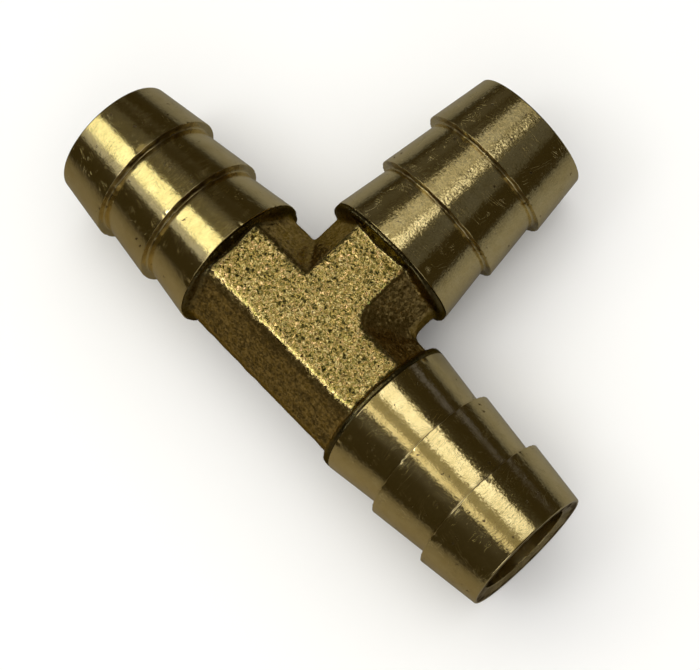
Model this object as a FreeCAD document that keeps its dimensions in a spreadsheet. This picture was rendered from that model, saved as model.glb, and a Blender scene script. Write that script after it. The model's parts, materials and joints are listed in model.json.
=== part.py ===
import FreeCAD, Part

import os

import Sketcher

# Barbed tee connector for 19 mm (3/4 inch) hose, in brass.
#
# The run lies along X and the branch points along +Y. The origin is where their axes cross.
# A forged body carries a short spigot at each of its three ends, and a turned barb stem is
# seated on each spigot, hard against the collar. A round waterway joins all three ends.

# Driving dimensions in millimetres.
DIMENSIONS = {
    # barb stems
    "crest_radius": 10.75,
    "root_radius": 9.55,
    "crest_land": 0.45,
    "inner_barb": 8.5,
    "middle_barb": 9.2,
    "outer_barb": 9.0,
    "mouth_radius": 8.4,
    "mouth_depth": 0.45,
    "tip_round": 0.25,
    # waterway
    "bore_radius": 7.0,
    # spigot and socket joint
    "spigot_radius": 8.3,
    "spigot_length": 4.0,
    "spigot_chamfer": 0.3,
    "socket_clearance": 0.03,
    "seat_gap": 0.1,
    # forged body
    "run_shoulder": 14.9,
    "branch_shoulder": 15.25,
    "arm_radius": 9.5,
    "flat_height": 8.4,
    "flat_edge_round": 0.3,
    "notch_round": 1.0,
    "collar_land": 0.45,
    "collar_width": 1.25,
    "collar_edge_round": 0.4,
    "collar_foot_round": 0.8,
}

SHEET_NAME = "Size"
FULL_TURN = 360.0
MATCH_TOLERANCE = 0.01

# How a sketch numbers its own axes, and the points of a line or circle.
HORIZONTAL_AXIS = -1
VERTICAL_AXIS = -2
START = 1
END = 2
CENTRE = 3
SKETCH_ORIGIN = (HORIZONTAL_AXIS, START)


# ---------------------------------------------------------------- document helpers


def add_sheet(doc):
    """One row per driving dimension: its name in column A, its number in column B."""
    sheet = doc.addObject("Spreadsheet::Sheet", SHEET_NAME)
    for row, (alias, value) in enumerate(DIMENSIONS.items(), start=1):
        sheet.set(f"A{row}", alias)
        sheet.set(f"B{row}", str(value))
        sheet.setAlias(f"B{row}", alias)
    doc.recompute()


def size(alias):
    """The expression that reads one driving dimension from the sheet."""
    return f"{SHEET_NAME}.{alias}"


def total(*aliases):
    """The expression for the sum of several driving dimensions."""
    return " + ".join(size(alias) for alias in aliases)


def origin_feature(body, role):
    """The body's own origin plane or axis with that role."""
    return next(item for item in body.Origin.OriginFeatures if item.Role == role)


def new_sketch(body, name, plane_role):
    sketch = body.newObject("Sketcher::SketchObject", name)
    sketch.AttachmentSupport = [(origin_feature(body, plane_role), "")]
    sketch.MapMode = "FlatFace"
    return sketch


def drive(sketch, expression, kind, *reference):
    """Adds a dimension to the sketch and binds it to an expression over the sheet."""
    value = float(sketch.evalExpression(expression))
    index = sketch.addConstraint(Sketcher.Constraint(kind, *reference, value))
    sketch.setExpression(f"Constraints[{index}]", expression)


def outline(sketch, corners):
    """A closed outline of straight lines. Each corner is a pair of expressions, or 0 on an axis."""
    places = [
        FreeCAD.Vector(*(float(sketch.evalExpression(str(value))) for value in corner), 0)
        for corner in corners
    ]
    first = sketch.GeometryCount
    for start, end in zip(places, places[1:] + places[:1]):
        sketch.addGeometry(Part.LineSegment(start, end), False)
    for step, (along, across) in enumerate(corners):
        line = first + step
        previous = first + (step - 1) % len(corners)
        sketch.addConstraint(Sketcher.Constraint("Coincident", previous, END, line, START))
        place_start(sketch, line, along, "DistanceX", VERTICAL_AXIS)
        place_start(sketch, line, across, "DistanceY", HORIZONTAL_AXIS)


def place_start(sketch, line, value, kind, axis):
    """Holds one coordinate of a line's start: on the axis when it is 0, else by a dimension."""
    if value == 0:
        sketch.addConstraint(Sketcher.Constraint("PointOnObject", line, START, axis))
    else:
        drive(sketch, value, kind, *SKETCH_ORIGIN, line, START)


def circle_sketch(body, name, plane_role, radius_alias):
    """A circle about the body's origin."""
    sketch = new_sketch(body, name, plane_role)
    radius = DIMENSIONS[radius_alias]
    sketch.addGeometry(Part.Circle(FreeCAD.Vector(), FreeCAD.Vector(0, 0, 1), radius), False)
    sketch.addConstraint(Sketcher.Constraint("Coincident", 0, CENTRE, *SKETCH_ORIGIN))
    drive(sketch, size(radius_alias), "Radius", 0)
    return sketch


def revolve(body, name, sketch, axis):
    revolution = body.newObject("PartDesign::Revolution", name)
    revolution.Profile = sketch
    revolution.ReferenceAxis = (sketch, [axis])
    revolution.Angle = FULL_TURN
    body.Document.recompute()
    return revolution


def pocket_through(body, name, sketch, sides):
    """Cuts the sketch right through, on both sides of its plane or one, and checks that it cut."""
    volume_before = body.Shape.Volume
    pocket = body.newObject("PartDesign::Pocket", name)
    pocket.Profile = sketch
    pocket.Type = "ThroughAll"
    pocket.SideType = sides
    body.Document.recompute()
    if not body.Shape.Volume < volume_before:
        raise ValueError(f"{name} cut nothing")


def round_edges(body, name, radius_alias, wanted):
    """Fillets every edge of the body's last feature for which wanted(edge) is true."""
    base = body.Tip
    names = [
        f"Edge{number}"
        for number, edge in enumerate(base.Shape.Edges, start=1)
        if wanted(edge)
    ]
    if not names:
        raise ValueError(f"{name}: no edge to round")
    fillet = body.newObject("PartDesign::Fillet", name)
    fillet.Base = (base, names)
    fillet.setExpression("Radius", size(radius_alias))
    body.Document.recompute()
    return fillet


def middle(edge):
    return edge.valueAt((edge.FirstParameter + edge.LastParameter) / 2)


def near(value, target):
    return abs(value - target) < MATCH_TOLERANCE


# ---------------------------------------------------------------- barb stem


def stem_corners():
    """Half section of a stem: distance from its shoulder face, then radius.

    Outside, three barbs narrow towards the tip and end in a square step at the next crest.
    Inside, from the tip: a flared mouth, the waterway and the socket for the body's spigot.
    """
    corners = []
    passed = []
    for barb in ("inner_barb", "middle_barb", "outer_barb"):
        corners.append((total(*passed) or 0, size("crest_radius")))
        corners.append((total(*passed, "crest_land"), size("crest_radius")))
        passed.append(barb)
        corners.append((total(*passed), size("root_radius")))
    tip = total(*passed)
    socket_depth = total("spigot_length", "seat_gap")
    socket_radius = total("spigot_radius", "socket_clearance")
    corners += [
        (tip, size("mouth_radius")),
        (f"{tip} - {size('mouth_depth')}", size("bore_radius")),
        (socket_depth, size("bore_radius")),
        (socket_depth, socket_radius),
        (0, socket_radius),
    ]
    return corners


def make_barb_stem(doc, name, angle, offset):
    """A stem whose axis points angle degrees round from +X, its shoulder face seated at offset."""
    body = doc.addObject("PartDesign::Body", name)
    sketch = new_sketch(body, f"{name}_profile", "XY_Plane")
    outline(sketch, stem_corners())
    stem = revolve(body, f"{name}_turned", sketch, "H_Axis")
    tip = stem.Shape.BoundBox.XMax
    root_radius = DIMENSIONS["root_radius"]

    def is_tip_edge(edge):
        return near(edge.BoundBox.XMin, tip) and near(edge.BoundBox.YMax, root_radius)

    round_edges(body, f"{name}_tip_round", "tip_round", is_tip_edge)
    body.Placement.Rotation = FreeCAD.Rotation(FreeCAD.Vector(0, 0, 1), angle)
    for axis, distance in offset.items():
        body.setExpression(f"Placement.Base.{axis}", distance)
    return body


# ---------------------------------------------------------------- forged body


def end_corners(shoulder):
    """Half section of one end of the body: distance from the centre, then radius.

    The collar's back face leans into the arm, and the spigot stands out of its front face.
    """
    spigot_end = total(shoulder, "spigot_length")
    collar_foot = f"{size(shoulder)} - {size('collar_width')}"
    return [
        (collar_foot, 0),
        (spigot_end, 0),
        (spigot_end, f"{size('spigot_radius')} - {size('spigot_chamfer')}"),
        (f"{spigot_end} - {size('spigot_chamfer')}", size("spigot_radius")),
        (size(shoulder), size("spigot_radius")),
        (size(shoulder), size("crest_radius")),
        (f"{size(shoulder)} - {size('collar_land')}", size("crest_radius")),
        (collar_foot, size("flat_height")),
    ]


def add_arms(body):
    """The run's round arm, both ways from the centre, and the branch's, outwards only."""
    run_arm = body.newObject("PartDesign::Pad", "run_arm")
    run_arm.Profile = circle_sketch(body, "run_section", "YZ_Plane", "arm_radius")
    run_arm.SideType = "Symmetric"
    run_arm.setExpression("Length", f"2 * {size('run_shoulder')}")
    branch_arm = body.newObject("PartDesign::Pad", "branch_arm")
    branch_arm.Profile = circle_sketch(body, "branch_section", "XZ_Plane", "arm_radius")
    branch_arm.Reversed = True
    branch_arm.setExpression("Length", size("branch_shoulder"))
    body.Document.recompute()


def cut_flats(body):
    """The forging's two flats, above and below the arms."""
    for name, side in (("top_flat", 1), ("bottom_flat", -1)):
        sketch = new_sketch(body, f"{name}_outline", "YZ_Plane")
        reach = size("branch_shoulder")
        inner = f"{side} * {size('flat_height')}"
        outer = f"{side} * {size('crest_radius')}"
        outline(sketch, [(f"-{reach}", inner), (reach, inner), (reach, outer), (f"-{reach}", outer)])
        pocket_through(body, name, sketch, "Symmetric")


def round_arms(body):
    """Rounds the two notches between run and branch, then the long edges of the flats."""
    flat = DIMENSIONS["flat_height"]

    def is_notch_edge(edge):
        point = middle(edge)
        below_flat = abs(point.z) < flat - MATCH_TOLERANCE
        return below_flat and point.y > 0 and near(abs(point.x), point.y)

    def is_flat_edge(edge):
        box = edge.BoundBox
        on_flat = near(abs(box.ZMin), flat) and near(abs(box.ZMax), flat)
        point = middle(edge)
        at_end = near(abs(point.x), DIMENSIONS["run_shoulder"]) or near(
            point.y, DIMENSIONS["branch_shoulder"]
        )
        return on_flat and not at_end

    round_edges(body, "notches", "notch_round", is_notch_edge)
    round_edges(body, "flat_edges", "flat_edge_round", is_flat_edge)


def add_ends(body):
    """Collar and spigot at both ends of the run and at the branch."""
    run_end = new_sketch(body, "run_end_profile", "XY_Plane")
    outline(run_end, end_corners("run_shoulder"))
    right_end = revolve(body, "right_end", run_end, "H_Axis")
    left_end = body.newObject("PartDesign::Mirrored", "left_end")
    left_end.Originals = [right_end]
    left_end.MirrorPlane = (origin_feature(body, "YZ_Plane"), [""])
    body.Tip = left_end
    body.Document.recompute()
    branch_end = new_sketch(body, "branch_end_profile", "XY_Plane")
    outline(branch_end, [(radius, along) for along, radius in end_corners("branch_shoulder")])
    revolve(body, "branch_end", branch_end, "V_Axis")


def round_collars(body):
    """Rounds each collar's outer back edge, and the foot where it meets the arm."""
    crest = DIMENSIONS["crest_radius"]
    arm = DIMENSIONS["arm_radius"]
    width = DIMENSIONS["collar_width"]
    land = DIMENSIONS["collar_land"]

    def along_and_radius(point):
        """Distance from the centre and radius, about the axis of the end the point is on."""
        if point.y > abs(point.x):
            return point.y - DIMENSIONS["branch_shoulder"], (point.x**2 + point.z**2) ** 0.5
        return abs(point.x) - DIMENSIONS["run_shoulder"], (point.y**2 + point.z**2) ** 0.5

    def is_back_edge(edge):
        along, radius = along_and_radius(edge.Vertexes[0].Point)
        return near(along, -land) and near(radius, crest)

    def is_foot_edge(edge):
        places = [along_and_radius(vertex.Point) for vertex in edge.Vertexes]
        places.append(along_and_radius(middle(edge)))
        return all(
            -width - MATCH_TOLERANCE < along < -land - MATCH_TOLERANCE
            and radius < arm + MATCH_TOLERANCE
            for along, radius in places
        )

    round_edges(body, "collar_edges", "collar_edge_round", is_back_edge)
    round_edges(body, "collar_feet", "collar_foot_round", is_foot_edge)


def bore_waterway(body):
    """The straight run bore, and the branch bore that opens into it."""
    run = circle_sketch(body, "run_bore_section", "YZ_Plane", "bore_radius")
    pocket_through(body, "run_bore", run, "Symmetric")
    branch = circle_sketch(body, "branch_bore_section", "XZ_Plane", "bore_radius")
    pocket_through(body, "branch_bore", branch, "One side")


def make_forged_body(doc):
    body = doc.addObject("PartDesign::Body", "forged_body")
    add_arms(body)
    cut_flats(body)
    round_arms(body)
    add_ends(body)
    round_collars(body)
    bore_waterway(body)
    return body


# ---------------------------------------------------------------- the assembly


def check_document(doc, pieces):
    """Stops if any object failed to recompute, or any piece isn't one valid solid."""
    for item in doc.Objects:
        if {"Invalid", "Error"} & set(item.State):
            raise ValueError(f"{item.Label} failed: {item.State}")
    for piece in pieces:
        shape = piece.Shape
        if shape.isNull() or not shape.isValid() or len(shape.Solids) != 1:
            raise ValueError(f"{piece.Label} is not one valid solid")


def main():
    doc = FreeCAD.newDocument("barbed_tee_connector")
    add_sheet(doc)
    pieces = [
        make_forged_body(doc),
        make_barb_stem(doc, "right_run_barb", 0, {"x": size("run_shoulder")}),
        make_barb_stem(doc, "left_run_barb", 180, {"x": f"-{size('run_shoulder')}"}),
        make_barb_stem(doc, "branch_barb", 90, {"y": size("branch_shoulder")}),
    ]
    doc.recompute()
    check_document(doc, pieces)
    os.makedirs("parts", exist_ok=True)
    for piece in pieces:
        piece.Shape.exportStep(os.path.join("parts", f"{piece.Label}.step"))


main()
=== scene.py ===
import json
import math

import bpy
import numpy as np
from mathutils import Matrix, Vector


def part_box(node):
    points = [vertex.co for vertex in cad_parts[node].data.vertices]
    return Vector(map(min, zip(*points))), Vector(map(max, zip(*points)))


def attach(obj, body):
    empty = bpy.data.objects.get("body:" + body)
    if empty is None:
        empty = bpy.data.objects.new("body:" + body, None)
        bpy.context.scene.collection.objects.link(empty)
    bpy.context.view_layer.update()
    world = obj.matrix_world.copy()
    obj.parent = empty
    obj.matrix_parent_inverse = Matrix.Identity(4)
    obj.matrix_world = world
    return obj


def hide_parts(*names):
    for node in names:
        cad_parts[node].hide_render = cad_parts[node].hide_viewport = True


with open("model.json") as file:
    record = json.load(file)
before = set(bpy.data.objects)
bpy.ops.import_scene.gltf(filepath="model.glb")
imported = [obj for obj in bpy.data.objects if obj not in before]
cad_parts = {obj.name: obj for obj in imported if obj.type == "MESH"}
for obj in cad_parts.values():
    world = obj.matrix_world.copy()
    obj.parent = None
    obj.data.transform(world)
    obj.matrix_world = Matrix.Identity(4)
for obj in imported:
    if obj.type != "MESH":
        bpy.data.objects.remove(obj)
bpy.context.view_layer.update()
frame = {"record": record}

import openvdb
from mathutils import Euler, Vector

# The looks of a brass barbed tee. The run lies along X, the branch points along +Y, and the
# flats face up and down. Shapes are worked out in millimetres and scaled to metres at the end.

METRE = 1000.0  # millimetres in a metre
SEED = 7


# ---------------------------------------------------------------- sizes from the frame


def mount(name):
    """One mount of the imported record."""
    return next(item for item in frame["record"]["mounts"] if item["name"] == name)


CREST = mount("right_hose_barb")["dims"]["r_mm"]
CREST_LAND = mount("right_hose_barb")["dims"]["length_mm"]
BORE = mount("run_waterway")["dims"]["r_mm"]
FLAT = mount("upper_flat")["pos_m"][2] * METRE
RUN_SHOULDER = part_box("right_run_barb")[0].x * METRE
RUN_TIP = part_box("right_run_barb")[1].x * METRE
BRANCH_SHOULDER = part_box("branch_barb")[0].y * METRE
STEM_LENGTH = RUN_TIP - RUN_SHOULDER
SPIGOT_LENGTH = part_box("forged_body")[1].x * METRE - RUN_SHOULDER

MOUTH_DEPTH = STEM_LENGTH - (mount("run_waterway")["dims"]["length_mm"] / 2 - RUN_SHOULDER)
OUTER_CREST = mount("right_hose_barb")["pos_m"][0] * METRE - RUN_SHOULDER - CREST_LAND / 2

# Sizes that the frame doesn't state.
MIDDLE_CREST = 8.5  # from the stem's shoulder, as OUTER_CREST
CRESTS = (0.0, MIDDLE_CREST, OUTER_CREST)
FOOT = 9.55  # radius at the foot of each barb
MOUTH = 8.4  # radius of the countersink at the tip
SPIGOT = 8.3  # radius of the body's spigots
SOCKET_GAP = 0.03  # between a spigot and its socket, all round
SEAT_GAP = 0.1  # between a spigot's end and the bottom of its socket
ARM = 9.5  # radius of the forging's arms


# ---------------------------------------------------------------- mesh helpers


def mesh_object(name, points_mm, faces):
    """A smooth-shaded mesh object from points in millimetres."""
    mesh = bpy.data.meshes.new(name)
    mesh.from_pydata((points_mm / METRE).tolist(), [], faces.tolist())
    mesh.validate()
    mesh.shade_smooth()
    piece = bpy.data.objects.new(name, mesh)
    bpy.context.scene.collection.objects.link(piece)
    return piece


def add_attribute(piece, name, values):
    """A number or a vector per vertex, which a material can read."""
    kind, field = ("FLOAT", "value") if values.ndim == 1 else ("FLOAT_VECTOR", "vector")
    attribute = piece.data.attributes.new(name, kind, "POINT")
    attribute.data.foreach_set(field, values.astype(np.float32).ravel())


# ---------------------------------------------------------------- forged body

VOXEL = 0.2
MARGIN = 3  # empty voxels round the body

FLAT_EDGE = 4.4  # half the width of the run's flats
FRONT_EDGE = 4.0  # the same on the side away from the branch
BRANCH_EDGE = 4.7  # half the width of the branch's flats
CHAMFER_TILT = math.radians(37)
FLANK_TILT = math.radians(52)
FLANK_DEPTH = 0.78  # below the round of the arm
FRONT_FLANK_DEPTH = 0.92  # the same on the run's side away from the branch
RUN_SHIFT = -0.08  # how far the forged run lies off its axis, along Y
RUN_EXTRA = 0.12  # how much larger its radius is than the branch's
BRANCH_SHIFT = 0.17  # how far the forged branch lies off its axis, along X

LEFT_RIM = 0.0  # the width of each collar's rim over the flats
RIGHT_RIM = 0.75
BRANCH_RIM = 0.6
RIM_SWELL = 0.35  # how much wider the rims are at the parting line
COLLAR_LEAN = 0.6  # how much wider a collar gets from its rim down to the flats

# Widths of rounded edges and corners.
FLANK_ROUND = 0.15
CHAMFER_ROUND = 0.1
FLAT_ROUND = 0.42
COLLAR_ROUND = 0.4
COLLAR_FOOT = 0.55
LEFT_NOTCH = 0.6
RIGHT_NOTCH = 2.2

SKIN_NOISE = ((0.6, 0.011), (3.0, 0.022))  # the skin's unevenness: wavelength and height
NOISE_SPREAD = 0.35  # how widely one noise's frequencies spread, as a share of the middle one

SHADE_REACH = 1.5  # how far the painted shade at each collar reaches from the shoulder
BRANCH_SHADE = 0.3  # and how much further it reaches on the branch


def smooth_min(a, b, width):
    """The smaller of two distances, with a rounded inside corner of that width."""
    share = np.clip(0.5 + 0.5 * (b - a) / width, 0, 1)
    return b + (a - b) * share - width * share * (1 - share)


def smooth_max(a, b, width):
    """The larger of two distances, with a rounded outside edge of that width."""
    return -smooth_min(-a, -b, width)


def axis_samples(low, high):
    """Where the grid's voxels lie along one axis."""
    count = int(round((high - low) / VOXEL)) + 1 + 2 * MARGIN
    return low + (np.arange(count) - MARGIN) * VOXEL


def band_noise(shape, wavelength, rng):
    """A random field with features about one wavelength across, with unit spread."""
    field = rng.standard_normal(shape).astype(np.float32)
    frequencies = np.meshgrid(*(np.fft.fftfreq(n, VOXEL) for n in shape[:2]),
                              np.fft.rfftfreq(shape[2], VOXEL), indexing="ij")
    distance = np.sqrt(sum(f**2 for f in frequencies))
    middle = 1 / wavelength
    window = np.exp(-((distance - middle) ** 2) / (2 * (NOISE_SPREAD * middle) ** 2))
    field = np.fft.irfftn(np.fft.rfftn(field) * window, s=shape)
    return field / field.std()


def tilted_plane(across, height, tilt):
    """How far a place lies along a direction tilted away from the vertical, on all four sides."""
    return np.abs(across) * math.sin(tilt) + np.abs(height) * math.cos(tilt)


def arm_section(across, height, radius, edge, flank_depth):
    """Distance to an arm's section: a circle with a chamfer and a flank beside each flat."""
    chamfer = tilted_plane(across, height, CHAMFER_TILT) - tilted_plane(edge, FLAT, CHAMFER_TILT)
    flank = tilted_plane(across, height, FLANK_TILT) - radius + flank_depth
    section = smooth_max(np.hypot(across, height) - radius, flank, FLANK_ROUND)
    return smooth_max(section, chamfer, CHAMFER_ROUND)


def arms(x, y, z):
    """Distance to the two arms with their flats, without collars."""
    front = y < 0
    run = arm_section(y - RUN_SHIFT, z, ARM + RUN_EXTRA, np.where(front, FRONT_EDGE, FLAT_EDGE),
                      np.where(front, FRONT_FLANK_DEPTH, FLANK_DEPTH))
    branch = arm_section(x - BRANCH_SHIFT, z, ARM, BRANCH_EDGE, FLANK_DEPTH)
    branch = np.maximum(branch, -y)
    both = smooth_min(run, branch, np.where(x < 0, LEFT_NOTCH, RIGHT_NOTCH))
    return smooth_max(both, np.abs(z) - FLAT, FLAT_ROUND)


def collar(inward, radius, height, rim):
    """Distance to a collar: inward is measured from its shoulder, towards the body's centre.

    Its rim is that wide over the flats, and swells towards the parting line midway between them.
    """
    rim = rim + RIM_SWELL * np.clip(1 - (height / FLAT) ** 2, 0, 1)
    drop = CREST - FLAT
    back = (inward - rim) * drop + (radius - CREST) * COLLAR_LEAN
    return smooth_max(radius - CREST, back / math.hypot(drop, COLLAR_LEAN), COLLAR_ROUND)


def spigots(x, y, from_run, from_branch):
    """Distance to the plain spigots that hold the stems."""
    run = np.maximum(from_run - SPIGOT, np.abs(x) - RUN_SHOULDER - SPIGOT_LENGTH)
    branch = np.maximum(from_branch - SPIGOT, -y)
    branch = np.maximum(branch, y - BRANCH_SHOULDER - SPIGOT_LENGTH)
    return np.minimum(run, branch)


def forged_body_distance(x, y, z):
    """Signed distance to the forged body, in millimetres, with its uneven skin."""
    from_run = np.hypot(y, z)
    from_branch = np.hypot(x, z)
    skin = arms(x, y, z)
    run_rim = np.where(x < 0, LEFT_RIM, RIGHT_RIM)
    skin = smooth_min(skin, collar(RUN_SHOULDER - np.abs(x), from_run, z, run_rim), COLLAR_FOOT)
    skin = smooth_min(skin, collar(BRANCH_SHOULDER - y, from_branch, z, BRANCH_RIM), COLLAR_FOOT)
    rng = np.random.default_rng(SEED)
    for wavelength, height in SKIN_NOISE:
        skin = skin + height * band_noise(skin.shape, wavelength, rng)
    nearest_axis = np.minimum(from_run, np.where(y > 0, from_branch, np.inf))
    skin = np.maximum(skin, nearest_axis - CREST)
    skin = np.maximum(skin, np.abs(x) - RUN_SHOULDER)
    skin = np.maximum(skin, y - BRANCH_SHOULDER)
    solid = np.minimum(skin, spigots(x, y, from_run, from_branch))
    waterway = np.minimum(from_run - BORE, np.maximum(from_branch - BORE, -y))
    return np.maximum(solid, -waterway)


def make_forged_body():
    """The forging, meshed where its distance field is zero."""
    low, high = (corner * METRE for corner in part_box("forged_body"))
    sides = [axis_samples(a, b) for a, b in zip(low, high)]
    x, y, z = np.meshgrid(*sides, indexing="ij", sparse=True)
    distance = forged_body_distance(x, y, z).astype(np.float32)
    grid = openvdb.FloatGrid(MARGIN * VOXEL)
    grid.copyFromArray(distance)
    points, quads = grid.convertToQuads(0.0)
    points = points * VOXEL + np.array([side[0] for side in sides])
    body = mesh_object("forged_tee_body", points, quads)
    # Painted shade round each collar, over its concave foot and back, where shade falls.
    inward = np.minimum(RUN_SHOULDER - np.abs(points[:, 0]),
                        BRANCH_SHOULDER - points[:, 1] - BRANCH_SHADE)
    add_attribute(body, "collar_shade", np.clip(SHADE_REACH - inward, 0, 1))
    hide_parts("forged_body")
    return body


# ---------------------------------------------------------------- turned stems

AROUND = 384  # points round the axis
ARC_STEPS = 4  # in each rounded corner of the outline
LONGEST_STEP = 0.4
SUPPORT_STEP = 0.04  # next to a corner

# Radii of the outline's rounded corners.
CREST_ROUND = 0.08
STEP_ROUND = 0.28
TIP_ROUND = 0.2
MOUTH_ROUND = 0.06
BORE_ROUND = 0.1
SOCKET_ROUND = 0.05

WANDER_WAVES = 119  # how many there are of the finest waves round a ragged crest
WANDER_FALL = 0.3  # how fast the finer waves get weaker
RAGGED_REACH = 0.25  # how far along the axis a crest is ragged
SEAT_BAND = 0.01  # points this near the shoulder lie on the stem's seat, and aren't worn

NICKS = 26  # in the crests
NICK_SCATTER = 0.12  # along the axis
NICK_SIZES = (0.15, 0.4)
NICK_DEPTHS = (0.04, 0.14)
DENTS = 60  # anywhere along the stem
DENT_SIZES = (0.12, 0.35)
DENT_DEPTHS = (0.01, 0.035)
DENT_STRETCHES = (0.7, 2.0)  # length round the axis over length along it
CLEAR_ENDS = 1.0  # how far dents keep from either end of the stem

SLACK = 0.1  # tells the points on the tip face, in the countersink and in the bore apart
# Painted shade inside the bore and the countersink.
BORE_SHADE = 0.1
COUNTERSINK_SHADE = 0.5
TIP_SHADE_FADE = 0.3  # the distance over which the painted shade on the tip face fades in, from its edge
STEP_SLACK = 0.05  # tells the points on a step from those beyond it
STEP_SHADE_REACH = 0.3
STEP_SHADE_TOP = 0.2  # how far below the crest the painted shade on a step begins to fade
STEM_SHADE_HEIGHTS = (0.25, 0.875)  # from none to all of the painted shade, in radii from the axis
# The least share of the painted shade, on the sides of a stem.
LEAST_STEM_SHADE = 0.1


def stem_corners():
    """The stem's closed half section: distance from its shoulder, radius, corner rounding."""
    corners = []
    for crest, foot in zip(CRESTS, (*CRESTS[1:], STEM_LENGTH)):
        corners.append((crest, CREST, CREST_ROUND))
        corners.append((foot, FOOT, STEP_ROUND if foot < STEM_LENGTH else TIP_ROUND))
    socket_depth = SPIGOT_LENGTH + SEAT_GAP
    corners += [
        (STEM_LENGTH, MOUTH, MOUTH_ROUND),
        (STEM_LENGTH - MOUTH_DEPTH, BORE, BORE_ROUND),
        (socket_depth, BORE, SOCKET_ROUND),
        (socket_depth, SPIGOT + SOCKET_GAP, SOCKET_ROUND),
        (0.0, SPIGOT + SOCKET_GAP, SOCKET_ROUND),
    ]
    return corners


def rounded_outline(corners):
    """Points round a closed outline, with an arc at each corner."""
    points = []
    places = [np.array(corner[:2]) for corner in corners]
    for index, (_, _, rounding) in enumerate(corners):
        here = places[index]
        before = places[index - 1] - here
        after = places[(index + 1) % len(places)] - here
        before /= np.linalg.norm(before)
        after /= np.linalg.norm(after)
        half_angle = math.acos(np.clip(before @ after, -1, 1)) / 2
        start = here + before * rounding / math.tan(half_angle)
        end = here + after * rounding / math.tan(half_angle)
        bisector = (before + after) / np.linalg.norm(before + after)
        middle = here + bisector * (rounding / math.sin(half_angle))
        for step in range(ARC_STEPS + 1):
            chord = start + (end - start) * step / ARC_STEPS - middle
            points.append(middle + chord / np.linalg.norm(chord) * rounding)
    return np.array(points)


def with_support(points):
    """Splits long straight stretches, with a close step next to each corner."""
    result = []
    for here, following in zip(points, np.roll(points, -1, axis=0)):
        result.append(here)
        length = np.linalg.norm(following - here)
        if length > 3 * SUPPORT_STEP:
            inner = length - 2 * SUPPORT_STEP
            count = max(1, math.ceil(inner / LONGEST_STEP))
            for step in range(count + 1):
                distance = SUPPORT_STEP + inner * step / count
                result.append(here + (following - here) * distance / length)
    return np.array(result)


def ring_quads(rows, columns):
    """Faces of a closed surface of rows round an outline and columns round an axis."""
    index = np.arange(rows * columns).reshape(rows, columns)
    next_row = np.roll(index, -1, axis=0)
    corners = [index, np.roll(index, -1, axis=1), np.roll(next_row, -1, axis=1), next_row]
    return np.stack(corners, axis=-1).reshape(-1, 4)


def random_wander(turn, rng):
    """A random line round the axis that stays between -1 and 1."""
    wander = np.zeros(len(turn))
    for waves in range(1, WANDER_WAVES + 1):
        phase = rng.uniform(0, 2 * math.pi)
        wander += rng.normal() * np.cos(waves * turn + phase) / waves**WANDER_FALL
    return wander / np.abs(wander).max()


def dent(axial, turn, centre, sizes, depths, rng):
    """How deep a dent at a random place round the stem reaches at every point."""
    size = rng.uniform(*sizes)
    depth = rng.uniform(*depths)
    place = rng.uniform(0, 2 * math.pi)
    stretch = rng.uniform(*DENT_STRETCHES)
    around = np.angle(np.exp(1j * (turn - place))) * FOOT / stretch
    return depth * np.exp(-(((axial - centre) ** 2 + around**2) / size**2))


def nicks_and_dents(axial, turn, rng):
    """How deep the deepest nick or dent reaches at every point."""
    deepest = np.zeros_like(axial)
    for _ in range(NICKS):
        centre = rng.choice(CRESTS) + rng.normal(0, NICK_SCATTER)
        deepest = np.maximum(deepest, dent(axial, turn, centre, NICK_SIZES, NICK_DEPTHS, rng))
    for _ in range(DENTS):
        centre = rng.uniform(CLEAR_ENDS, STEM_LENGTH - CLEAR_ENDS)
        deepest = np.maximum(deepest, dent(axial, turn, centre, DENT_SIZES, DENT_DEPTHS, rng))
    return deepest


def worn(outline, turn, ragged, rng):
    """Distance along the axis and radius of every point, with ragged crests, nicks and dents."""
    axial = np.repeat(outline[:, :1], len(turn), axis=1)
    radial = np.repeat(outline[:, 1:], len(turn), axis=1)
    outside = (radial > MOUTH) & (axial > SEAT_BAND)
    wander = random_wander(turn, rng)
    deepest = nicks_and_dents(axial, turn, rng)
    for crest in CRESTS[1:]:
        near = np.exp(-(((outline[:, 0] - crest) / RAGGED_REACH) ** 2))
        axial += ragged * near[:, None] * wander * outside
    radial -= deepest * outside
    return axial, radial


def outline_painted_shade(outline):
    """How much painted shade each point of the outline gets: inside, on the tip face and under each
    step.
    """
    axial, radial = outline.T
    inside = (radial < MOUTH - SLACK) & (axial > SPIGOT_LENGTH)
    shade = np.where(radial < BORE + SLACK, BORE_SHADE, COUNTERSINK_SHADE) * inside
    tip_face = (radial > MOUTH - SLACK) & (axial > STEM_LENGTH - SLACK)
    inset = FOOT - TIP_ROUND - radial
    shade = np.maximum(shade, np.clip(inset / TIP_SHADE_FADE, 0, 1) * tip_face)
    for step in CRESTS[1:]:
        above = np.clip(radial - (CREST - STEP_SHADE_TOP), 0, None)
        distance = np.hypot(axial - step, above)
        under = axial < step + STEP_SLACK
        shade = np.maximum(shade, np.exp(-((distance / STEP_SHADE_REACH) ** 2)) * under)
    return shade


def stem_painted_shade(outline, turn):
    """Painted shade at every point. Away from the tip it lies on the upper and lower side, and is
    mostly left off the sides.
    """
    shade_share = np.interp(np.abs(np.sin(turn)), STEM_SHADE_HEIGHTS, (0.0, 1.0))
    shade_share = np.maximum(shade_share, LEAST_STEM_SHADE)
    shade_share = np.where(outline[:, :1] < STEM_LENGTH - MOUTH_DEPTH, shade_share, 1)
    return outline_painted_shade(outline)[:, None] * shade_share


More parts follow.
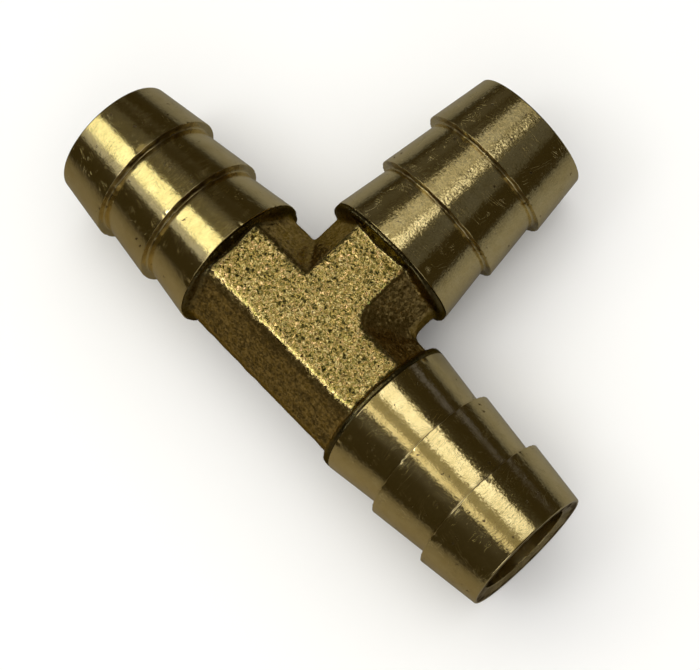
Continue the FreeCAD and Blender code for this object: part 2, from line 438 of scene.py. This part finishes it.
def make_stem(name, node, along, across, shoulder, ragged, sandy, rng):
    """A stem lathed about its axis, its shoulder set out from the centre."""
    outline = with_support(rounded_outline(stem_corners()))
    chords = np.roll(outline, -1, axis=0) - outline
    lengths = np.linalg.norm(chords, axis=1)
    cut_distance = np.cumsum(lengths) - lengths
    tangents = chords / lengths[:, None]
    turn = np.arange(AROUND) * 2 * math.pi / AROUND
    outward = np.outer(np.cos(turn), across) + np.outer(np.sin(turn), (0.0, 0.0, 1.0))

    axial, radial = worn(outline, turn, ragged, rng)
    points = (shoulder + axial)[..., None] * along + radial[..., None] * outward
    stem = mesh_object(name, points.reshape(-1, 3), ring_quads(len(outline), AROUND))

    place = np.broadcast_arrays(cut_distance[:, None], FOOT * np.cos(turn), FOOT * np.sin(turn))
    direction = tangents[:, :1, None] * along + tangents[:, 1:, None] * outward
    add_attribute(stem, "cut_place", np.stack(place, axis=-1).reshape(-1, 3))
    add_attribute(stem, "cut_direction", direction.reshape(-1, 3))
    # Painted shade under the steps, on the tip face and in the mouth.
    add_attribute(stem, "painted_shade", stem_painted_shade(outline, turn).ravel())
    add_attribute(stem, "sandy", np.full(axial.size, sandy))
    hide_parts(node)
    return stem


# ---------------------------------------------------------------- shader helpers

WHITE = (1.0, 1.0, 1.0, 1.0)
MIDDLE = (0.5, 0.5, 0.5)  # what a coloured noise varies about
UNSCALED = 1.0  # the scale of a noise that is already stretched


def set_input(tree, socket, value):
    """Gives an input either a plain value or another node's output."""
    if isinstance(value, bpy.types.NodeSocket):
        tree.links.new(value, socket)
    else:
        socket.default_value = value


def add_node(tree, kind, inputs=None, **settings):
    """Adds a shader node, with its inputs by name or number."""
    node = tree.nodes.new(kind)
    for name, value in settings.items():
        setattr(node, name, value)
    for name, value in (inputs or {}).items():
        set_input(tree, node.inputs[name], value)
    return node


def math_node(tree, operation, *values):
    """The result of an operation on numbers."""
    return add_node(tree, "ShaderNodeMath", dict(enumerate(values)), operation=operation).outputs[0]


def vector_node(tree, operation, *values):
    """The result of an operation on vectors or colours."""
    node = add_node(tree, "ShaderNodeVectorMath", dict(enumerate(values)), operation=operation)
    return node.outputs["Vector"]


def scaled(tree, vector, amount):
    """A vector or a colour times a number."""
    node = add_node(tree, "ShaderNodeVectorMath", {0: vector, "Scale": amount}, operation="SCALE")
    return node.outputs["Vector"]


def coordinate(tree, vector, axis):
    """One coordinate of a vector."""
    return add_node(tree, "ShaderNodeSeparateXYZ", {"Vector": vector}).outputs[axis]


def object_place(tree):
    """The place that is shaded, in metres."""
    return add_node(tree, "ShaderNodeTexCoord").outputs["Object"]


def surface_normal(tree):
    """The direction that the surface faces, without its bumps."""
    return add_node(tree, "ShaderNodeNewGeometry").outputs["Normal"]


def vertex_value(tree, name, output="Fac"):
    """What a vertex attribute holds at the place that is shaded."""
    return add_node(tree, "ShaderNodeAttribute", attribute_name=name).outputs[output]


def map_range(tree, value, before, after=(0.0, 1.0)):
    """A number taken from one range to another, and held at the ends."""
    node = add_node(tree, "ShaderNodeMapRange",
                    {"Value": value, "From Min": before[0], "From Max": before[1],
                     "To Min": after[0], "To Max": after[1]})
    return node.outputs["Result"]


def mix(tree, factor, first, second, **settings):
    """A colour that runs from the first to the second as the factor goes from 0 to 1."""
    node = add_node(tree, "ShaderNodeMixRGB",
                    {"Fac": factor, "Color1": first, "Color2": second}, **settings)
    return node.outputs["Color"]


def blend_colours(tree, factor, dark, light, low=0.35, high=0.65):
    """A colour that runs from dark to light as the factor goes from low to high."""
    ramp = add_node(tree, "ShaderNodeValToRGB", {"Fac": factor})
    first, last = ramp.color_ramp.elements
    first.position, first.color = low, (*dark, 1.0)
    last.position, last.color = high, (*light, 1.0)
    return ramp.outputs["Color"]


def stretched_noise(tree, place, stretch, detail=2.0, roughness=0.5):
    """Noise whose features are 1 / stretch millimetres long in each direction."""
    mapped = add_node(tree, "ShaderNodeMapping", {"Vector": place, "Scale": stretch})
    noise = add_node(tree, "ShaderNodeTexNoise",
                     {"Vector": mapped.outputs["Vector"], "Scale": UNSCALED, "Detail": detail,
                      "Roughness": roughness})
    return noise.outputs["Fac"]


def random_tilt(tree, noise, amount):
    """A short vector whose direction changes with a noise. Added to the normal it tilts it."""
    return scaled(tree, vector_node(tree, "SUBTRACT", noise.outputs["Color"], MIDDLE), amount)


def new_material(name):
    """An empty material, and its node tree."""
    material = bpy.data.materials.new(name)
    material.use_nodes = True
    tree = material.node_tree
    tree.nodes.clear()
    return material, tree


def finish_material(tree, kind, inputs):
    """Ends a material with its surface shader."""
    shader = add_node(tree, kind, inputs)
    add_node(tree, "ShaderNodeOutputMaterial", {"Surface": shader.outputs["BSDF"]})


# ---------------------------------------------------------------- turned brass

# Features to a millimetre: along the outline, and in the two directions across the axis.
TOOL_MARKS = (6.0, 0.12, 0.12)
STREAKS = (6.0, 1.2, 1.2)
MOTTLE = (3.2, 3.2, 3.2)
WAVINESS = (0.6, 0.6, 0.6)
BLOTCHES = (0.45, 0.45, 0.45)
SCRATCH_PATCHES = (0.6, 0.6, 0.6)
SCRATCH_SETS = (  # with the angle of each set
    (0.6, (4.0, 0.25, 0.25)),
    (1.9, (0.25, 3.2, 0.3)),
    (2.7, (0.3, 0.3, 4.0)),
)
SPECKS_PER_MM = 1.0
WOBBLES_PER_MM = 3.0
SAND_PER_MM = 4.0

# Heights and depths. All but the first are in tool marks.
TOOL_MARK = 4.5e-6  # metres
MOTTLE_HEIGHT = 3.0
WAVE_HEIGHT = 4.0
SCRATCH_DEPTH = 1.5
SPECK_DEPTH = 3.0

SCRATCH_TWIST = 0.7  # the second angle of a scratch, as a share of the others
SCRATCH_WIDTH = 0.006  # how near its middle the noise is on a scratch
SCRATCH_LIMIT = 0.66  # a higher one leaves fewer and shorter scratches
SPECK_SIZE = 0.2  # millimetres, for the largest
SPECK_RARITY = 4.0  # a higher one leaves fewer large specks among the small ones
SPECK_WOBBLE = (0.8, 0.8, 0.8)  # millimetres
SPECK_DIRT = 0.8
STREAK_LEAN = 0.08  # between the furthest leans either way
SAND_TILT = 0.3  # how much a grain tilts the normal
SAND_GLITTER = 0.7  # how much the tone differs from grain to grain

DARK_TURNED = (0.82, 0.67, 0.31)
LIGHT_TURNED = (0.93, 0.79, 0.42)
BLOTCH_RANGE = (0.3, 0.7)
BLOTCH_ROUGHNESS = (0.19, 0.13)
# Tone, glancing tint and added roughness for the specks and the painted shade.
DIRT_AND_SHADE_TONE = (0.12, 0.07, 0.03, 1.0)
DIRT_AND_SHADE_GLANCE = (0.25, 0.2, 0.12, 1.0)
DIRT_AND_SHADE_ROUGHNESS = 0.3  # added to the metal's own
STEM_SHADE_PATCHES = ((0.35, 0.6), (0.45, 0.95))  # the waviness, and the share of painted shade that shows
TURNED_ANISOTROPY = 0.6


def scratches(tree, place, angle, stretch):
    """Thin lines, 1 where there is a scratch, that run at an angle across the tool marks."""
    turned = add_node(tree, "ShaderNodeMapping",
                      {"Vector": place, "Rotation": (angle, angle * SCRATCH_TWIST, angle)})
    turned = turned.outputs["Vector"]
    lines = stretched_noise(tree, turned, stretch, detail=0.0)
    offset = math_node(tree, "ABSOLUTE", math_node(tree, "SUBTRACT", lines, 0.5))
    thin = math_node(tree, "LESS_THAN", offset, SCRATCH_WIDTH)
    patches = stretched_noise(tree, turned, SCRATCH_PATCHES, detail=0.0)
    scratched = math_node(tree, "GREATER_THAN", patches, SCRATCH_LIMIT)
    return math_node(tree, "MULTIPLY", thin, scratched)


def specks(tree, place):
    """1 in small spots of mixed sizes."""
    wobble = add_node(tree, "ShaderNodeTexNoise",
                      {"Vector": place, "Scale": WOBBLES_PER_MM, "Detail": 1.0})
    wobbly = vector_node(tree, "MULTIPLY_ADD", wobble.outputs["Color"], SPECK_WOBBLE, place)
    cells = add_node(tree, "ShaderNodeTexVoronoi", {"Vector": wobbly, "Scale": SPECKS_PER_MM})
    lot = add_node(tree, "ShaderNodeSeparateColor", {"Color": cells.outputs["Color"]})
    share = math_node(tree, "POWER", lot.outputs["Red"], SPECK_RARITY)
    reach = math_node(tree, "MULTIPLY", share, SPECK_SIZE)
    return math_node(tree, "LESS_THAN", cells.outputs["Distance"], reach)


def streaky_lean(tree, place, direction):
    """A slight lean of the surface, round the axis, that differs between tool marks."""
    streaks = stretched_noise(tree, place, STREAKS, roughness=0.7)
    lean = math_node(tree, "MULTIPLY_ADD", streaks, STREAK_LEAN, -STREAK_LEAN / 2)
    around = vector_node(tree, "CROSS_PRODUCT", surface_normal(tree), direction)
    return scaled(tree, around, lean)


def turned_height(tree, place, waviness, spot):
    """Height of the surface, in tool marks."""
    marks = stretched_noise(tree, place, TOOL_MARKS, roughness=0.6)
    mottle = stretched_noise(tree, place, MOTTLE, roughness=0.6)
    height = math_node(tree, "MULTIPLY_ADD", mottle, MOTTLE_HEIGHT, marks)
    height = math_node(tree, "MULTIPLY_ADD", waviness, WAVE_HEIGHT, height)
    for angle, stretch in SCRATCH_SETS:
        scratch = scratches(tree, place, angle, stretch)
        height = math_node(tree, "MULTIPLY_ADD", scratch, -SCRATCH_DEPTH, height)
    return math_node(tree, "MULTIPLY_ADD", spot, -SPECK_DEPTH, height)


def turned_normal(tree, height, lean, sand, sandy):
    """The normal with its bumps, the lean of the tool marks and the sandy grain."""
    bump = add_node(tree, "ShaderNodeBump",
                    {"Height": height, "Distance": TOOL_MARK, "Strength": 1.0})
    normal = vector_node(tree, "ADD", bump.outputs["Normal"], lean)
    tilt = random_tilt(tree, sand, math_node(tree, "MULTIPLY", sandy, SAND_TILT))
    return vector_node(tree, "NORMALIZE", vector_node(tree, "ADD", normal, tilt))


def turned_tone(tree, blotches, sand, sandy):
    """The clean metal's colour: blotchy, and uneven from grain to grain where it is sandy."""
    tone = blend_colours(tree, blotches, DARK_TURNED, LIGHT_TURNED, *BLOTCH_RANGE)
    glitter = math_node(tree, "MULTIPLY_ADD", sand.outputs["Fac"], SAND_GLITTER, -SAND_GLITTER / 2)
    glitter = math_node(tree, "MULTIPLY", sandy, glitter)
    return scaled(tree, tone, math_node(tree, "ADD", glitter, 1.0))


def turned_dirt_and_shade(tree, waviness, spot):
    """How dark the metal is made: patchy painted shade, and the specks."""
    patches = map_range(tree, waviness, *STEM_SHADE_PATCHES)
    painted_shade = math_node(tree, "MULTIPLY", vertex_value(tree, "painted_shade"), patches)
    return math_node(tree, "MAXIMUM", math_node(tree, "MULTIPLY", spot, SPECK_DIRT), painted_shade)


def turned_brass():
    """Turned brass: fine marks round the axis, a faint mottle, specks, stray scratches and painted
    shade.
    """
    material, tree = new_material("turned_brass")
    place = vertex_value(tree, "cut_place", "Vector")
    direction = vertex_value(tree, "cut_direction", "Vector")
    sandy = vertex_value(tree, "sandy")
    sand = add_node(tree, "ShaderNodeTexNoise",
                    {"Vector": place, "Scale": SAND_PER_MM, "Detail": 2.0})
    waviness = stretched_noise(tree, place, WAVINESS, detail=1.0)
    blotches = stretched_noise(tree, place, BLOTCHES, detail=4.0, roughness=0.65)
    spot = specks(tree, place)
    dirt_and_shade = turned_dirt_and_shade(tree, waviness, spot)
    height = turned_height(tree, place, waviness, spot)
    lean = streaky_lean(tree, place, direction)
    roughness = map_range(tree, blotches, BLOTCH_RANGE, BLOTCH_ROUGHNESS)
    # The specks and the painted shade darken the colour and the glancing tint.
    finish_material(
        tree, "ShaderNodeBsdfPrincipled",
        {"Base Color": mix(tree, dirt_and_shade, turned_tone(tree, blotches, sand, sandy), DIRT_AND_SHADE_TONE),
         "Metallic": 1.0,
         "Specular Tint": mix(tree, dirt_and_shade, WHITE, DIRT_AND_SHADE_GLANCE),
         "Roughness": math_node(tree, "MULTIPLY_ADD", dirt_and_shade, DIRT_AND_SHADE_ROUGHNESS, roughness),
         "Anisotropic": TURNED_ANISOTROPY,
         "Tangent": direction,
         "Normal": turned_normal(tree, height, lean, sand, sandy)},
    )
    return material


# ---------------------------------------------------------------- forged brass

GRAINS_PER_METRE = 2300.0
GRAIN_HEIGHT = 0.9e-4  # metres
GRAIN_STRENGTH = 0.5

# How squarely the surface faces up or down, and how strongly the grain tilts its normal there.
SIDE_TO_CHAMFER = ((0.68, 0.78), (1.1, 0.45))
CHAMFER_TO_FLAT = ((0.96, 0.992), (0.0, 1.35))  # added to the first

RUBBED_HEIGHTS = ((FLAT - 0.4) / METRE, (FLAT - 0.12) / METRE)  # from not at all to fully
SHADED_HEIGHTS = (0.5 / METRE, 4.0 / METRE)  # painted shade low down: from fully to not at all
SHADED_TONE = 0.7
SIDE_TONES = ((0.42, 0.30, 0.09), (0.80, 0.60, 0.25))
FLAT_TONES = ((0.53, 0.40, 0.13), (0.88, 0.72, 0.31))
FLAT_TONE_RANGE = (0.42, 0.68)
FLAT_COLOUR_GRAIN = 0.4  # how strongly the flats' tone follows the grain's colours
# The painted shade at the collars: its tone, and how fully it covers.
COLLAR_SHADE_TONE = (0.11, 0.095, 0.05, 1.0)
COLLAR_SHADE_STRENGTH = 0.85
FORGED_GLANCE = (0.42, 0.34, 0.2, 1.0)
FORGED_ROUGHNESS = 0.3
FLAT_SMOOTHNESS = 0.08  # taken off the roughness on the flats


def forged_normal(tree, grain):
    """The normal with its pebbles, strongest on the flats and weakest on the chamfers."""
    facing = math_node(tree, "ABSOLUTE", coordinate(tree, surface_normal(tree), "Z"))
    pebbled = math_node(tree, "ADD", map_range(tree, facing, *SIDE_TO_CHAMFER),
                        map_range(tree, facing, *CHAMFER_TO_FLAT))
    bump = add_node(tree, "ShaderNodeBump",
                    {"Height": grain.outputs["Fac"], "Distance": GRAIN_HEIGHT,
                     "Strength": GRAIN_STRENGTH})
    tilted = vector_node(tree, "ADD", bump.outputs["Normal"], random_tilt(tree, grain, pebbled))
    return vector_node(tree, "NORMALIZE", tilted)


def forged_tone(tree, grain, height, rubbed):
    """The skin's colour: bright on the flats, with painted shade low down and at the collars."""
    skin = blend_colours(tree, grain.outputs["Fac"], *SIDE_TONES)
    bright = blend_colours(tree, grain.outputs["Fac"], *FLAT_TONES, *FLAT_TONE_RANGE)
    tone = mix(tree, rubbed, skin, bright)
    colour_grain = math_node(tree, "MULTIPLY", rubbed, FLAT_COLOUR_GRAIN)
    tone = mix(tree, colour_grain, tone, grain.outputs["Color"], blend_type="OVERLAY")
    tone = scaled(tree, tone, map_range(tree, height, SHADED_HEIGHTS, (SHADED_TONE, 1.0)))
    shade = math_node(tree, "MULTIPLY", vertex_value(tree, "collar_shade"), COLLAR_SHADE_STRENGTH)
    return mix(tree, shade, tone, COLLAR_SHADE_TONE)


def forged_brass():
    """Pebbled forging skin: brown on the sides, rubbed bright on the two flats."""
    material, tree = new_material("forged_brass")
    place = object_place(tree)
    height = coordinate(tree, place, "Z")
    rubbed = map_range(tree, math_node(tree, "ABSOLUTE", height), RUBBED_HEIGHTS)
    grain = add_node(tree, "ShaderNodeTexNoise",
                     {"Vector": place, "Scale": GRAINS_PER_METRE, "Detail": 2.5,
                      "Distortion": 0.8})
    roughness = math_node(tree, "MULTIPLY_ADD", rubbed, -FLAT_SMOOTHNESS, FORGED_ROUGHNESS)
    finish_material(
        tree, "ShaderNodeBsdfPrincipled",
        {"Base Color": forged_tone(tree, grain, height, rubbed),
         "Metallic": 1.0,
         "Specular Tint": FORGED_GLANCE,
         "Roughness": roughness,
         "Normal": forged_normal(tree, grain)},
    )
    return material


# ---------------------------------------------------------------- stage, light and camera

PALE = (0.9, 0.9, 0.9, 1.0)
FLOOR_REACH = 1.5  # metres from the middle of the floor to its sides
MIRRORED_FLOOR = 0.31
POOL = 0.09  # how far from the object the mirrored floor falls to half its brightness, in metres
WARM = (0.79, 0.68, 0.49, 1.0)  # tint of the mirrored floor on the side away from the branch
COOL = (0.95, 0.91, 0.83, 1.0)  # the same on the branch's side
TINT_CHANGE = (-0.02, 0.01)  # where along Y the tint changes, in metres
MIRRORED_ROOM = (0.03, 0.0225, 0.0085, 1.0)

# Heights of the panels of light, in metres. A lower panel hides what it overlaps.
HIGH = 1.0
MIDWAY = 0.99
LOW = 0.98
FILL = 0.9

# The camera's lens and place are in millimetres, and its turn is in degrees.
LENS = 92.0
SENSOR = 36.0
CAMERA_PLACE = (70.5, -23.5, 233.6)
CAMERA_TURN = (16.0, 6.35, 46.7)
NEAREST = 0.01  # metres


def seen_by_camera(tree, to_camera, to_others):
    """A colour that differs between what the camera sees and what the metal mirrors."""
    camera_ray = add_node(tree, "ShaderNodeLightPath").outputs["Is Camera Ray"]
    return mix(tree, camera_ray, to_others, to_camera)


def pool_of_light(tree):
    """A painted pool of light: the floor as the metal mirrors it, darker the further it is from the
    object.
    """
    place = object_place(tree)
    distance = add_node(tree, "ShaderNodeVectorMath", {0: place}, operation="LENGTH")
    fall = math_node(tree, "ADD", math_node(tree, "DIVIDE", distance.outputs["Value"], POOL), 1.0)
    branch_side = map_range(tree, coordinate(tree, place, "Y"), TINT_CHANGE)
    tint = mix(tree, branch_side, WARM, COOL)
    return scaled(tree, tint, math_node(tree, "DIVIDE", MIRRORED_FLOOR, fall))


def make_floor():
    """A plain pale floor under the fitting."""
    reach = FLOOR_REACH
    mesh = bpy.data.meshes.new("floor")
    corners = [(-reach, -reach, 0), (reach, -reach, 0), (reach, reach, 0), (-reach, reach, 0)]
    mesh.from_pydata(corners, [], [(0, 1, 2, 3)])
    floor = bpy.data.objects.new("floor", mesh)
    floor.location.z = -CREST / METRE
    bpy.context.scene.collection.objects.link(floor)
    material, tree = new_material("pale_floor")
    colour = seen_by_camera(tree, PALE, pool_of_light(tree))
    finish_material(tree, "ShaderNodeBsdfDiffuse", {"Color": colour})
    mesh.materials.append(material)


def add_panel(name, x_range, y_range, height, radiance, tint=(1.0, 1.0, 1.0)):
    """A level rectangle of soft light above the object, its sides given in metres."""
    data = bpy.data.lights.new(name, "AREA")
    data.shape = "RECTANGLE"
    data.size = x_range[1] - x_range[0]
    data.size_y = y_range[1] - y_range[0]
    data.energy = radiance * math.pi * data.size * data.size_y
    data.color = tint
    light = bpy.data.objects.new(name, data)
    light.location = (sum(x_range) / 2, sum(y_range) / 2, height)
    light.visible_camera = False
    bpy.context.scene.collection.objects.link(light)
    return light


def make_lights():
    """Dim and bright panels for the metal to mirror, and one that it doesn't mirror."""
    add_panel("ceiling", (-0.7, 0.25), (-0.45, 0.57), HIGH, 0.27, (1.0, 0.9, 0.6))
    add_panel("far_panel", (-0.08, 0.2), (0.07, 0.5), MIDWAY, 1.04)
    add_panel("near_panel", (-0.6, 0.2), (-0.46, -0.26), MIDWAY, 0.6, (1.0, 0.93, 0.75))
    add_panel("side_panel", (-0.55, -0.2), (-0.85, -0.46), LOW, 3.6)
    add_panel("left_panel", (-1.05, -0.62), (-0.56, 0.03), LOW, 1.42, (1.0, 0.99, 0.76))
    add_panel("left_dim_panel", (-1.3, -0.8), (-0.98, -0.57), LOW, 0.42)
    add_panel("corner_panel", (-0.65, -0.15), (0.33, 0.8), MIDWAY, 0.24)
    add_panel("left_ceiling", (-1.4, -0.71), (0.05, 0.75), HIGH, 0.03)
    add_panel("left_wall", (-6.0, -1.5), (0.2, 2.0), HIGH, 0.033)
    add_panel("far_wall", (-0.6, 0.1), (2.2, 3.8), HIGH, 0.13, (0.6, 0.65, 1.0))
    add_panel("right_ceiling", (0.26, 1.2), (0.48, 0.95), HIGH, 0.06, (0.9, 0.95, 1.0))
    add_panel("front_left_wall", (-7.0, -3.0), (-2.2, -0.3), HIGH, 0.8)
    add_panel("front_right_wall", (1.0, 4.0), (-3.0, -0.7), HIGH, 0.8)
    floor_sides = (-FLOOR_REACH, FLOOR_REACH)
    fill = add_panel("floor_fill", floor_sides, floor_sides, FILL, 1.15)
    fill.visible_glossy = False


def make_camera():
    """The camera, high above the fitting and beyond its right tip."""
    data = bpy.data.cameras.new("camera")
    data.lens = LENS
    data.sensor_width = SENSOR
    data.clip_start = NEAREST
    camera = bpy.data.objects.new("camera", data)
    camera.location = Vector(CAMERA_PLACE) / METRE
    camera.rotation_euler = Euler([math.radians(angle) for angle in CAMERA_TURN])
    bpy.context.scene.collection.objects.link(camera)
    bpy.context.scene.camera = camera


def make_world():
    """The room: pale for the camera, and dark where the metal mirrors it."""
    world = bpy.data.worlds.new("studio")
    world.use_nodes = True
    tree = world.node_tree
    colour = seen_by_camera(tree, PALE, MIRRORED_ROOM)
    set_input(tree, tree.nodes["Background"].inputs["Color"], colour)
    bpy.context.scene.world = world


# ---------------------------------------------------------------- the whole


def dress(piece, material):
    """Gives a piece its material, and ties it to the fitting's one body."""
    piece.data.materials.append(material)
    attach(piece, "root")


def make_stems():
    """The three stems. How ragged and sandy they are differs a little."""
    x_axis = np.array([1.0, 0.0, 0.0])
    y_axis = np.array([0.0, 1.0, 0.0])
    rng = np.random.default_rng(SEED)
    return [
        make_stem("right_barb_stem", "right_run_barb", x_axis, y_axis, RUN_SHOULDER,
                  ragged=0.13, sandy=0.35, rng=rng),
        make_stem("left_barb_stem", "left_run_barb", -x_axis, -y_axis, RUN_SHOULDER,
                  ragged=0.03, sandy=0.15, rng=rng),
        make_stem("branch_barb_stem", "branch_barb", y_axis, -x_axis, BRANCH_SHOULDER,
                  ragged=0.12, sandy=0.6, rng=rng),
    ]


def main():
    """The fitting on its stage."""
    dress(make_forged_body(), forged_brass())
    metal = turned_brass()
    for stem in make_stems():
        dress(stem, metal)
    make_floor()
    make_world()
    make_lights()
    make_camera()
    bpy.context.scene.view_settings.view_transform = "Standard"


main()
